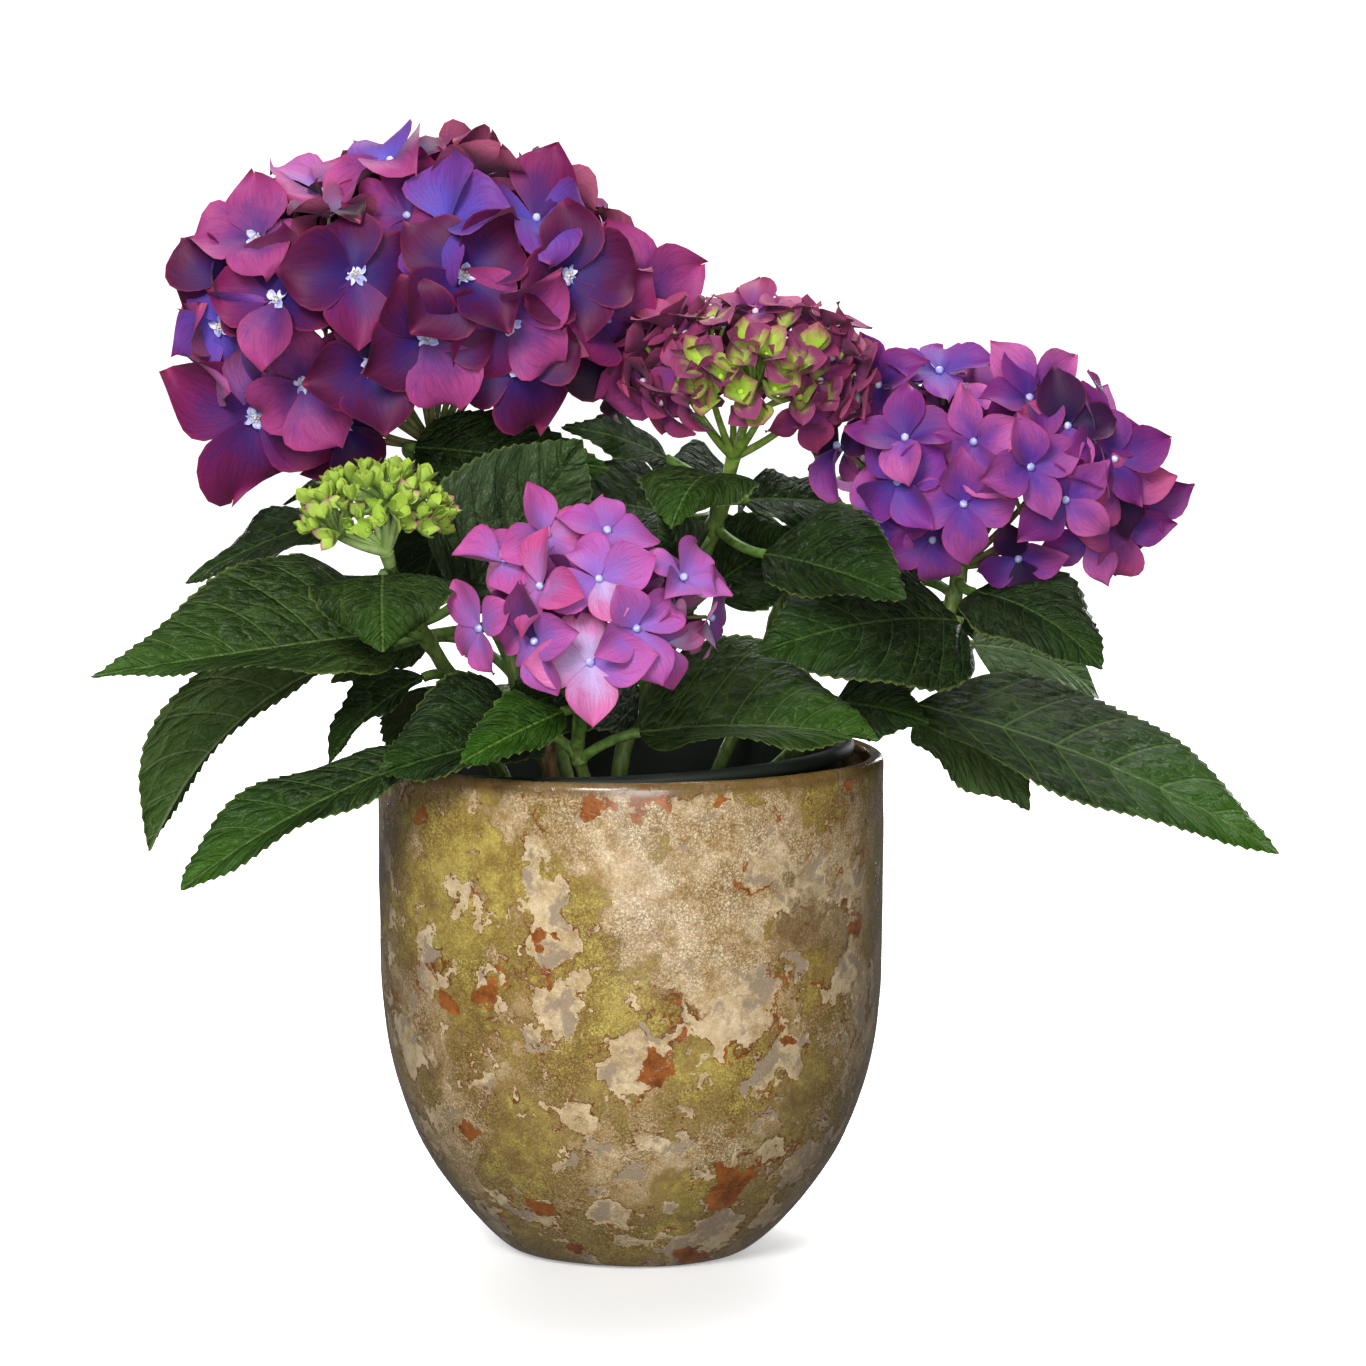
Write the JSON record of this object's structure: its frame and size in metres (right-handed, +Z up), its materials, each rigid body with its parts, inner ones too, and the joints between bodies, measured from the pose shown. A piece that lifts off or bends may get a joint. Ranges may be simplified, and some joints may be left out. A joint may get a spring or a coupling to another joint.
{
  "type": "potted bigleaf hydrangea",
  "caption": "Bigleaf hydrangea in flower, wine to pink-lilac mopheads over broad serrated leaves, standing in a rounded crackle-glazed cover pot.",
  "frame": {"origin": "centre of the pot's flat underside", "axes": "+Z up, -Y towards the front of the plant as seen in the picture, +X to the right"},
  "size_m": [0.456, 0.3161, 0.4473],
  "materials": {
    "pot_glaze": "glossy crackle glaze, olive, buff and rust",
    "grow_pot_plastic": "matt dark green plastic",
    "compost": "moist dark peat compost",
    "dry_stem": "dry brown cut stem",
    "cane": "soft green stem",
    "leaf": "semi-gloss quilted leaf",
    "bloom_tall_wine": "matt satin sepals, wine to blue-violet",
    "bloom_right_purple": "matt satin sepals, purple-magenta",
    "bloom_low_pink": "matt satin sepals, pink-lilac",
    "bloom_half_open": "matt satin sepals, raspberry and lime",
    "bloom_green_bud": "matt fresh green buds"
  },
  "bodies": {
    "root": {"cover_pot": "pot_glaze", "grow_pot": "grow_pot_plastic", "compost": "compost", "dry_stub": "dry_stem", "cane_front": "cane", "cane_tall": "cane", "cane_left": "cane", "cane_centre": "cane", "cane_right": "cane", "cane_back_left": "cane", "cane_back_right": "cane", "leaf_left_broad": "leaf", "leaf_left_dark_back": "leaf", "leaf_left_hanging": "leaf", "leaf_left_low_bright": "leaf", "leaf_front_left_glossy": "leaf", "leaf_front_small_bright": "leaf", "leaf_left_narrow_hanging": "leaf", "leaf_left_pale_small": "leaf", "leaf_left_heart": "leaf", "leaf_quilted_upright": "leaf", "leaf_centre_edge_on": "leaf", "leaf_centre_heart": "leaf", "leaf_centre_broad": "leaf", "leaf_quilted_right": "leaf", "leaf_right_upper": "leaf", "leaf_right_pale_back": "leaf", "leaf_right_long": "leaf", "leaf_right_underside": "leaf", "leaf_front_right_broad": "leaf", "leaf_centre_dark_back": "leaf", "leaf_under_tall_head": "leaf", "leaf_centre_grey_green": "leaf", "leaf_centre_dark_left": "leaf", "leaf_right_dark_back": "leaf", "leaf_right_dark_low": "leaf", "leaf_centre_low_left": "leaf", "leaf_centre_low_right": "leaf", "leaf_back_left_out": "leaf", "leaf_back_left_in": "leaf", "leaf_back_left_rear": "leaf", "leaf_back_left_top": "leaf", "leaf_back_right_out": "leaf", "leaf_back_right_rear": "leaf", "leaf_back_right_top": "leaf", "leaf_back_right_in": "leaf", "leaf_back_low_left": "leaf", "leaf_back_low_right": "leaf", "bloom_tall_wine": "bloom_tall_wine", "bloom_right_purple": "bloom_right_purple", "bloom_low_pink": "bloom_low_pink", "bloom_half_open": "bloom_half_open", "bloom_green_bud": "bloom_green_bud"}
  },
  "joints": []
}
